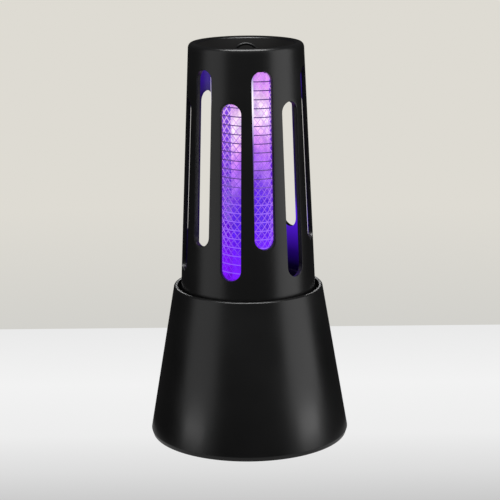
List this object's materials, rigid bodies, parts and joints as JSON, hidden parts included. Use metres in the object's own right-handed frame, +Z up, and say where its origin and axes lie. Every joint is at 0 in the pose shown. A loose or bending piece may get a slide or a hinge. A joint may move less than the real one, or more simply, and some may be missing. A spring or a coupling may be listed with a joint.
{
  "type": "electric bug zapper",
  "caption": "Cordless electric bug zapper: black cone base with a tapered slotted shroud that lifts off a violet lamp ringed by high-voltage wire grids, and a folding hanging loop on top.",
  "frame": {"origin": "centre of the surface that the feet stand on, on the axis of the base and the shroud", "axes": "+Z up along the object's axis, front towards -Y, charging socket and power button at +Y"},
  "size_m": [0.0892, 0.0892, 0.1775],
  "materials": {
    "black_plastic": "satin black moulded plastic with fine spark texture",
    "dark_plastic": "plain dark moulded plastic",
    "white_plastic": "white moulded plastic",
    "rubber": "matte black rubber",
    "red_lead": "red lead insulation",
    "steel": "plain bright steel",
    "wire": "bright drawn wire",
    "board_green": "green solder mask on glass fibre",
    "lamp": "frosted tube lit violet from inside",
    "cell_wrap": "blue shrink sleeve",
    "component_yellow": "yellow film and epoxy",
    "clear_pipe": "clear acrylic"
  },
  "bodies": {
    "base": {"base_shell": "black_plastic", "bottom_cover": "dark_plastic", "base_deck": "dark_plastic", "battery_holder": "dark_plastic", "transformer": "dark_plastic", "tact_switch": "dark_plastic", "usb_tongue": "dark_plastic", "lower_grid_holder": "dark_plastic", "upper_grid_holder": "dark_plastic", "charge_led": "white_plastic", "lamp_board": "white_plastic", "rubber_foot_1": "rubber", "rubber_foot_2": "rubber", "rubber_foot_3": "rubber", "rubber_foot_4": "rubber", "hv_lead_inner": "rubber", "lamp_lead": "rubber", "battery_lead_2": "rubber", "hv_lead_outer": "red_lead", "battery_lead_1": "red_lead", "cover_screw_1": "steel", "cover_screw_2": "steel", "cover_screw_3": "steel", "cover_screw_4": "steel", "holder_screw_1": "steel", "holder_screw_2": "steel", "holder_screw_3": "steel", "board_screw_1": "steel", "board_screw_2": "steel", "board_screw_3": "steel", "board_screw_4": "steel", "battery_contact_1": "steel", "battery_contact_2": "steel", "usb_port": "steel", "outer_grid": "wire", "inner_grid": "wire", "grid_post_1": "wire", "grid_post_2": "wire", "grid_post_3": "wire", "main_board": "board_green", "switch_board": "board_green", "lamp_tube": "lamp", "light_guide": "lamp", "battery_cell": "cell_wrap", "hv_capacitor_1": "component_yellow", "hv_capacitor_2": "component_yellow", "uv_led_1": "component_yellow", "uv_led_2": "component_yellow", "uv_led_3": "component_yellow", "uv_led_4": "component_yellow", "charge_light_pipe": "clear_pipe"},
    "shroud_lift": {"seal_ring": "rubber"},
    "shroud": {"shroud": "black_plastic", "top_cap": "black_plastic", "loop_pin_1": "steel", "loop_pin_2": "steel"},
    "hang_loop": {"hang_loop": "black_plastic"},
    "power_button": {"power_button": "dark_plastic", "switch_plunger": "white_plastic"}
  },
  "joints": [
    {"name": "shroud_lift", "type": "slide", "parent": "base", "child": "shroud_lift", "axis": [0, 0, 1], "range_m": [0, 0.11]},
    {"name": "shroud_twist", "type": "hinge", "parent": "shroud_lift", "child": "shroud", "pos_m": [0, 0, 0.066], "axis": [0, 0, 1], "range_deg": [0, 30]},
    {"name": "loop_fold", "type": "hinge", "parent": "shroud", "child": "hang_loop", "pos_m": [0, 0, 0.1708], "axis": [1, 0, 0], "range_deg": [-85, 85]},
    {"name": "button_press", "type": "slide", "parent": "base", "child": "power_button", "axis": [0, -1, 0], "range_m": [0, 0.0012], "stiffness_N_per_m": 600, "springref_m": -0.0005}
  ]
}
